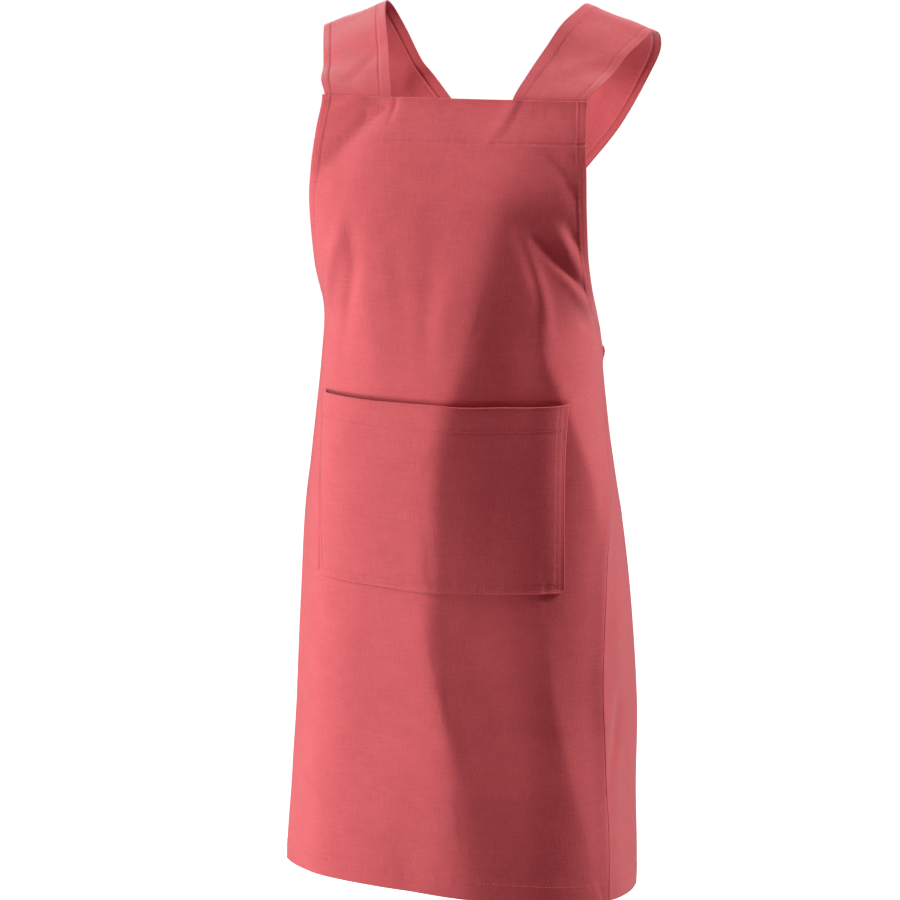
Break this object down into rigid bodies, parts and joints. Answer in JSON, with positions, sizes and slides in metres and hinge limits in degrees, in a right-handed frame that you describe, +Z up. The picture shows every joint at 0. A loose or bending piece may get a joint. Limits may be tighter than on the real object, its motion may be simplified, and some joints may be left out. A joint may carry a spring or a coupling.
{
  "type": "cross back apron",
  "caption": "Cotton cross back apron in worn form: bib front, wide straps crossing at the back, wrap skirt with side seams and a large patch pocket.",
  "frame": {"origin": "between the shoulders, level with the top of the straps' inner edges, where the apron rests on the wearer", "axes": "+Z up; the front faces -Y; +X is the wearer's left"},
  "size_m": [0.3638, 0.2535, 0.8776],
  "materials": {
    "coral_cotton": "matte"
  },
  "bodies": {
    "root": {"front_panel": "coral_cotton", "back_panel_left": "coral_cotton", "back_panel_right": "coral_cotton", "strap_left": "coral_cotton", "strap_right": "coral_cotton", "pocket": "coral_cotton"}
  },
  "joints": []
}
